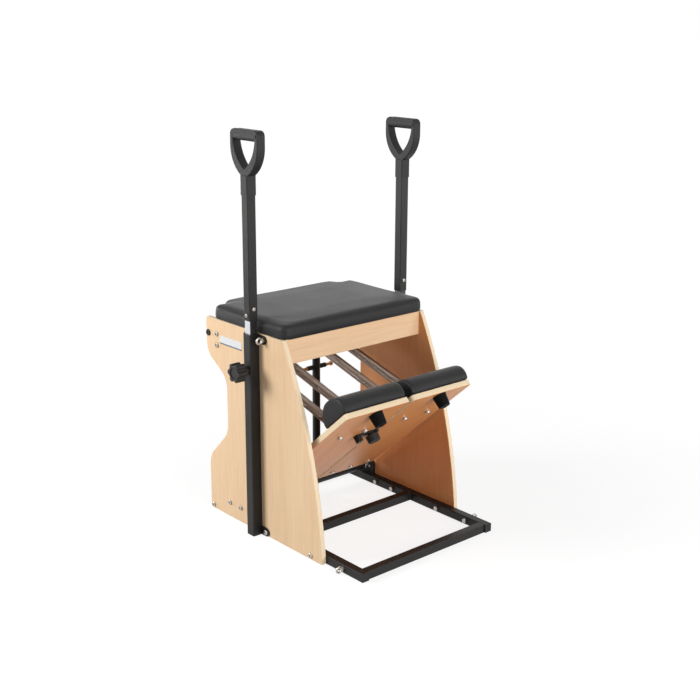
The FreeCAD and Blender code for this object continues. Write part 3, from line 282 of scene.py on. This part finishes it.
def paint_front_shade(made):
    """Painted shade and dark reflection: the faces of a tube that look to the front are painted black and
    lose their metal.
    """
    tree = made.node_tree
    shader = tree.nodes["Principled BSDF"]
    normal = node(tree, "ShaderNodeTexCoord").outputs["Normal"]
    facing = node(tree, "ShaderNodeSeparateXYZ", {"Vector": normal})
    front_shade = maths(tree, "LESS_THAN", facing.outputs["Y"], -FRONT_SHADE_COSINE)
    plain = shader.inputs["Base Color"].links[0].from_socket
    tree.links.new(blend_colour(tree, front_shade, plain, FRONT_SHADE_BLACK), shader.inputs["Base Color"])
    tree.links.new(maths(tree, "SUBTRACT", 1.0, front_shade), shader.inputs["Metallic"])


# Painted shade and dark reflection on the front of the inner tubes
paint_front_shade(front_shaded_tube)
pad_vinyl = vinyl("charcoal_vinyl")
finishes = {
    "black_steel": black_steel, "black_plastic": black_plastic, "rubber": rubber, "nylon": nylon,
    "zinc_steel": zinc, "spring_steel": spring_wire, "stainless": stainless, "brass": brass,
    "vinyl": pad_vinyl,
}
boards = {
    "side_panel": plywood("ply_upright", "ZYX", painted_shade_side="inside"),
    "front_apron": plywood("ply_level", "XZY", tint=(1.0, 0.96, 0.95)),
    "seat_board": plywood("ply_seat", "XYZ"),
    "pedal_board": plywood("ply_pedal", "YXZ", PEDAL_ANGLE, (0.99, 0.97, 0.95), "under"),
}
for part in frame["record"]["subparts"]:
    piece = nodes[part["node"]]
    finish = finishes.get(part["material_slot"])
    if part["node"].endswith(("_bolts", "_fasteners")):
        finish = bolt_zinc
    elif part["node"].endswith("_inner_tube"):
        finish = front_shaded_tube
    if finish is None:
        finish = next(board for key, board in boards.items() if part["node"].endswith(key))
    piece.data.materials.clear()
    piece.data.materials.append(finish)


# Mesh helpers

def add_piece(name, points, faces, finish, smooth=True):
    mesh = bpy.data.meshes.new(name)
    mesh.from_pydata([tuple(point) for point in points], [], faces)
    mesh.polygons.foreach_set("use_smooth", [smooth] * len(mesh.polygons))
    mesh.materials.append(finish)
    mesh.update()
    piece = bpy.data.objects.new(name, mesh)
    scene.collection.objects.link(piece)
    return piece


def tube_rings(path, radii, sides):
    """Points and faces of a tube that follows a path, with a radius at each point and flat ends."""
    count = len(path)
    points = []
    faces = []
    side_way = None
    for index, spot in enumerate(path):
        before = path[max(index - 1, 0)]
        after = path[min(index + 1, count - 1)]
        ahead = (after - before).normalized()
        if side_way is None:
            side_way = ahead.orthogonal().normalized()
        side_way = (side_way - ahead * side_way.dot(ahead)).normalized()
        up = ahead.cross(side_way)
        for step in range(sides):
            turn = 2 * math.pi * step / sides
            points.append(spot + (side_way * math.cos(turn) + up * math.sin(turn)) * radii[index])
    for row in range(count - 1):
        start = row * sides
        following = start + sides
        for step in range(sides):
            other = (step + 1) % sides
            faces.append((start + step, start + other, following + other, following + step))
    faces.append(tuple(reversed(range(sides))))
    faces.append(tuple(range((count - 1) * sides, count * sides)))
    return points, faces


# Close-wound extension springs, which on the chair open as the pedal goes down; here they are built in one
# fixed shape

COIL_TURNS = 100
TURN_STEPS = 18
COIL_RADIUS = 0.0117
COIL_LAP = 0.001
WIRE_RADIUS = 0.0018
WIRE_SIDES = 8


def coil(x):
    """Points and faces of one spring, whose ends lap a little into the end fittings."""
    start = PEG + Vector((x, 0, 0)) + SPRING_WAY * (COIL_START - COIL_LAP)
    length = COIL_END - COIL_START + 2 * COIL_LAP
    across = Vector((1, 0, 0))
    up = SPRING_WAY.cross(across)
    count = COIL_TURNS * TURN_STEPS
    path = []
    for step in range(count + 1):
        turn = 2 * math.pi * step / TURN_STEPS
        path.append(start + SPRING_WAY * (length * step / count)
                    + (across * math.cos(turn) + up * math.sin(turn)) * COIL_RADIUS)
    return tube_rings(path, [WIRE_RADIUS] * len(path), WIRE_SIDES)


for side_name, side in SIDES:
    for coil_name, coil_x in SPRING_XS:
        points, faces = coil(side * coil_x)
        wound = add_piece("%s_%s_wound_spring" % (side_name, coil_name), points, faces,
                          spring_wire)
        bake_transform(wound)
        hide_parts("%s_%s_spring" % (side_name, coil_name))


# Weld beads in the corners between the tubes of the frame

POST_SEAM = 0.0062
BEAD_RADIUS = 0.0021
BEAD_VALLEY = 0.8
BEAD_STEPS = 48
BEAD_RIPPLES = 8
BEAD_SIDES = 10
BEAD_ENDS = 0.003


def bead_spots():
    """The x and y of each upright bead, with the height of the tube's lower side."""
    half = TUBE_SIZE / 2
    rear_face = BAR_YS[-1] + half
    for _, side in SIDES:
        for bar_y in BAR_YS:
            for face_y in (bar_y - half, bar_y + half):
                if face_y > BAR_YS[0]:
                    yield side * RAIL_INNER, face_y, 0.0
        for face_y in (rear_face - TUBE_SIZE, rear_face):
            yield side * TOP_RAIL_END, face_y, TOP_RAIL_LOW
        for shift in (-POST_SEAM, POST_SEAM):
            for low in (0.0, TOP_RAIL_LOW):
                yield side * POST_X + shift, rear_face, low


bead_points = []
bead_faces = []
for x, y, low in bead_spots():
    path = []
    radii = []
    for step in range(BEAD_STEPS + 1):
        share = step / BEAD_STEPS
        path.append(Vector((x, y, low + BEAD_ENDS + (TUBE_SIZE - 2 * BEAD_ENDS) * share)))
        crest = abs(math.sin(math.pi * BEAD_RIPPLES * share))
        radii.append(BEAD_RADIUS * (BEAD_VALLEY + (1 - BEAD_VALLEY) * crest))
    points, faces = tube_rings(path, radii, BEAD_SIDES)
    bead_faces += [tuple(corner + len(bead_points) for corner in face) for face in faces]
    bead_points += points
beads = add_piece("weld_beads", bead_points, bead_faces, black_steel)
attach(beads, "chair_frame")


# Bare plate on the left panel, white with a slate line along its lower edge

PLATE_THICK = 0.0006
PLATE_YS = (0.163, 0.269)
PLATE_ZS = (0.531, 0.556)
PLATE_LINE = 0.0042
PLATE_ROUND = 0.002
PLATE_BEVEL = 0.0003
SLATE = (0.10, 0.14, 0.17)
CORNER_STEPS = 6


def plate_ring(x, inset):
    """Rounded oblong at one depth, as points in order around it."""
    radius = PLATE_ROUND - inset
    ring = []
    near, far = PLATE_YS[0] + PLATE_ROUND, PLATE_YS[1] - PLATE_ROUND
    low, high = PLATE_ZS[0] + PLATE_ROUND, PLATE_ZS[1] - PLATE_ROUND
    for quarter, (y, z) in enumerate(((far, high), (near, high), (near, low), (far, low))):
        for step in range(CORNER_STEPS + 1):
            turn = math.pi / 2 * (quarter + step / CORNER_STEPS)
            ring.append(Vector((x, y + radius * math.cos(turn), z + radius * math.sin(turn))))
    return ring


def plate_film():
    """White film with a slate line along its lower edge."""
    made = coated("plate_film", (0.74, 0.75, 0.76), 0.38, 700.0, 0.00004, 0.4, 0.03)
    tree = made.node_tree
    shader = tree.nodes["Principled BSDF"]
    height = node(tree, "ShaderNodeSeparateXYZ", {"Vector": object_space(tree)}).outputs["Z"]
    lined = maths(tree, "LESS_THAN", height, PLATE_ZS[0] + PLATE_LINE)
    plain = shader.inputs["Base Color"].links[0].from_socket
    tree.links.new(blend_colour(tree, lined, plain, SLATE), shader.inputs["Base Color"])
    return made


ring_size = 4 * (CORNER_STEPS + 1)
plate_points = (plate_ring(-PANEL_OUTER, 0.0) + plate_ring(-PANEL_OUTER - PLATE_THICK + PLATE_BEVEL, 0.0)
                + plate_ring(-PANEL_OUTER - PLATE_THICK, PLATE_BEVEL))
plate_faces = [tuple(range(ring_size)), tuple(reversed(range(2 * ring_size, 3 * ring_size)))]
for row in range(2):
    for step in range(ring_size):
        other = (step + 1) % ring_size
        plate_faces.append((row * ring_size + other, row * ring_size + step,
                            (row + 1) * ring_size + step, (row + 1) * ring_size + other))
plate = add_piece("panel_plate", plate_points, plate_faces, plate_film(), False)
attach(plate, "chair_frame")


# Upholstery: each pad starts from its solid, is shrunk a little and blown up again as cloth

HEM_HEIGHT = 0.010
HEM_STRETCH = 1.8
HEM_GAP = 0.0002
SEAT_HOLD = 0.014
SOFTEN_FACTOR = 0.5
SOFTEN_STEPS = 4
CLOTH_FRAMES = 14
EVEN_ROUNDS = 10
CLOTH_SETTINGS = {
    "quality": 5, "mass": 0.25, "tension_stiffness": 25, "compression_stiffness": 25,
    "shear_stiffness": 12, "bending_stiffness": 2.0, "use_pressure": True,
}


def above_pedal(point):
    """Height of a point above the hinge, square to the raised pedal."""
    return (Matrix.Rotation(PEDAL_ANGLE, 3, "X") @ (point - HINGE)).z


def evaluated_mesh(piece):
    return bpy.data.meshes.new_from_object(piece.evaluated_get(bpy.context.evaluated_depsgraph_get()))


def evened(moves, pairs):
    """Each move averaged with those of the neighbouring points."""
    sums = [move.copy() for move in moves]
    counts = [1] * len(moves)
    for one, other in pairs:
        sums[one] += moves[other]
        sums[other] += moves[one]
        counts[one] += 1
        counts[other] += 1
    return [total / count for total, count in zip(sums, counts)]


def blow_up(piece, held, cap, pressure):
    """Cloth under pressure from inside, with its moves evened out and capped, applied to the mesh."""
    solid = piece.data
    start = [vertex.co.copy() for vertex in solid.vertices]
    group = piece.vertex_groups.new(name="held")
    group.add([v.index for v in solid.vertices if held(v.co)], 1.0, "REPLACE")
    cloth = piece.modifiers.new("cloth", "CLOTH")
    for key, value in CLOTH_SETTINGS.items():
        setattr(cloth.settings, key, value)
    cloth.settings.uniform_pressure_force = pressure
    cloth.settings.vertex_group_mass = "held"
    cloth.settings.effector_weights.gravity = 0
    for step in range(1, CLOTH_FRAMES + 1):
        scene.frame_set(step)
    settled = evaluated_mesh(piece)
    piece.modifiers.clear()
    scene.frame_set(1)
    moves = [new.co - old for old, new in zip(start, settled.vertices)]
    bpy.data.meshes.remove(settled)
    pairs = [tuple(edge.vertices) for edge in solid.edges]
    for _ in range(EVEN_ROUNDS):
        moves = evened(moves, pairs)
    for vertex, old, move in zip(solid.vertices, start, moves):
        if move.length > cap:
            move *= cap / move.length
        vertex.co = old + move


def upholstered(name, source, held, voxel, shrink, cap, pressure, hemmed=False):
    """Cushion in place of a padded solid: held picks the points that stay put, cap limits the moves."""
    mesh = nodes[source].data.copy()
    mesh.name = name
    piece = bpy.data.objects.new(name, mesh)
    scene.collection.objects.link(piece)
    remesh = piece.modifiers.new("remesh", "REMESH")
    remesh.mode = "VOXEL"
    remesh.voxel_size = voxel
    soften = piece.modifiers.new("soften", "SMOOTH")
    soften.factor = SOFTEN_FACTOR
    soften.iterations = SOFTEN_STEPS
    bpy.context.view_layer.update()
    solid = evaluated_mesh(piece)
    piece.modifiers.clear()
    piece.data = solid
    hem_top = PANEL_TOP + HEM_HEIGHT
    for vertex in solid.vertices:
        if hemmed and vertex.co.z < hem_top:
            vertex.co.z = max(PANEL_TOP + HEM_GAP, hem_top - HEM_STRETCH * (hem_top - vertex.co.z))
        if not held(vertex.co):
            vertex.co -= vertex.normal * shrink
    blow_up(piece, held, cap, pressure)
    solid.polygons.foreach_set("use_smooth", [True] * len(solid.polygons))
    solid.materials.clear()
    solid.materials.append(pad_vinyl)
    finer = piece.modifiers.new("finer", "SUBSURF")
    finer.levels = 1
    finer.render_levels = 1
    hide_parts(source)
    return piece


seat = upholstered("seat_cushion", "seat_pad", lambda p: p.z < PANEL_TOP + SEAT_HOLD,
                   voxel=0.005, shrink=0.0012, cap=0.0016, pressure=1.2, hemmed=True)
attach(seat, "chair_frame")
for side_name, _ in SIDES:
    foot = upholstered(side_name + "_foot_cushion", side_name + "_pedal_pad",
                       lambda p: above_pedal(p) < 0.0,
                       voxel=0.004, shrink=0.0010, cap=0.0016, pressure=2.0)
    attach(foot, side_name + "_pedal")


# Camera where the photograph was taken from

CAMERA_PLACE = (-2.1188, -2.4211, 1.4521)
CAMERA_LENS = 60.10
CAMERA_SENSOR = 36.0
yaw, pitch, roll = 0.7182, 0.2817, 0.0046
ahead = Vector((math.sin(yaw) * math.cos(pitch), math.cos(yaw) * math.cos(pitch), -math.sin(pitch)))
right = Vector((math.cos(yaw), -math.sin(yaw), 0))
up = right.cross(ahead)
right, up = right * math.cos(roll) + up * math.sin(roll), up * math.cos(roll) - right * math.sin(roll)
camera = bpy.data.objects.new("camera", bpy.data.cameras.new("camera"))
camera.data.sensor_width = CAMERA_SENSOR
camera.data.lens = CAMERA_LENS
camera.matrix_world = (Matrix.Translation(CAMERA_PLACE)
                       @ Matrix((right, up, -ahead)).transposed().to_4x4())
scene.collection.objects.link(camera)
scene.camera = camera
scene.view_settings.view_transform = "Standard"


# Pale floor and soft studio light: camera and mirror rays see near white, other rays get less light

FLOOR_HALF = 40
FADE_SCALE = 0.25
GLOW_FAR = 1.02
GLOW_DROP = 0.215
BOUNCE_GREY = 0.40
AMBIENT = 0.27
WHITE_GAIN = 0.73


def seen_directly(tree):
    """1 for camera, glossy and transmission rays, and 0 for the others."""
    path = node(tree, "ShaderNodeLightPath")
    seen = maths(tree, "MAXIMUM", path.outputs["Is Camera Ray"], path.outputs["Is Glossy Ray"])
    return maths(tree, "MAXIMUM", seen, path.outputs["Is Transmission Ray"])


floor_mesh = bpy.data.meshes.new("floor")
corners = [(-FLOOR_HALF, -FLOOR_HALF, 0), (FLOOR_HALF, -FLOOR_HALF, 0),
           (FLOOR_HALF, FLOOR_HALF, 0), (-FLOOR_HALF, FLOOR_HALF, 0)]
floor_mesh.from_pydata(corners, [], [(0, 1, 2, 3)])
floor = bpy.data.objects.new("floor", floor_mesh)
scene.collection.objects.link(floor)
pale, tree, shader = new_material("pale_floor")
tree.nodes.remove(shader)
place = object_space(tree)
far = node(tree, "ShaderNodeVectorMath", {0: place}, operation="LENGTH").outputs["Value"]
fade = ramp(tree, maths(tree, "MULTIPLY", far, FADE_SCALE), ((0.18, 1.0), (0.42, 0.0)))
speck = ramp(tree, noise(tree, place, 3.0), ((0.3, 0.235), (0.7, 0.245)))
lit = node(tree, "ShaderNodeBsdfDiffuse", {"Color": blend_colour(tree, 1.0, speck, fade, "MULTIPLY")})
dimmed = maths(tree, "SUBTRACT", GLOW_FAR, maths(tree, "MULTIPLY", fade, GLOW_DROP))
glow = node(tree, "ShaderNodeEmission", {"Strength": dimmed})
shown = node(tree, "ShaderNodeAddShader")
tree.links.new(lit.outputs[0], shown.inputs[0])
tree.links.new(glow.outputs[0], shown.inputs[1])
bounce = node(tree, "ShaderNodeBsdfDiffuse", {"Color": (BOUNCE_GREY, BOUNCE_GREY, BOUNCE_GREY, 1)})
either = node(tree, "ShaderNodeMixShader", {"Fac": seen_directly(tree)})
tree.links.new(bounce.outputs[0], either.inputs[1])
tree.links.new(shown.outputs[0], either.inputs[2])
tree.links.new(either.outputs[0], tree.nodes["Material Output"].inputs["Surface"])
floor_mesh.materials.append(pale)

world = bpy.data.worlds.new("studio")
scene.world = world
world.use_nodes = True
tree = world.node_tree
level = maths(tree, "ADD", maths(tree, "MULTIPLY", seen_directly(tree), WHITE_GAIN), AMBIENT)
tree.links.new(level, tree.nodes["Background"].inputs["Strength"])
tree.nodes["Background"].inputs["Color"].default_value = (1, 1, 1, 1)


def area_lamp(name, place, aim, width, power):
    lamp = bpy.data.lights.new(name, "AREA")
    lamp.size = width
    lamp.energy = power
    made = bpy.data.objects.new(name, lamp)
    made.location = place
    made.rotation_euler = (Vector(aim) - Vector(place)).to_track_quat("-Z", "Y").to_euler()
    scene.collection.objects.link(made)


area_lamp("key", (-3.1, 1.7, 2.0), (0, 0, 0.4), width=1.5, power=124.0)
area_lamp("front", (0.0, -3.7, 1.25), (0, 0, 0.45), width=2.6, power=113.0)
area_lamp("rear", (-0.9, 3.2, 0.40), (0.1, 0, 0.45), width=0.45, power=26.0)
area_lamp("fill", (2.9, -2.3, 0.6), (0, 0, 0.4), width=1.4, power=20.0)
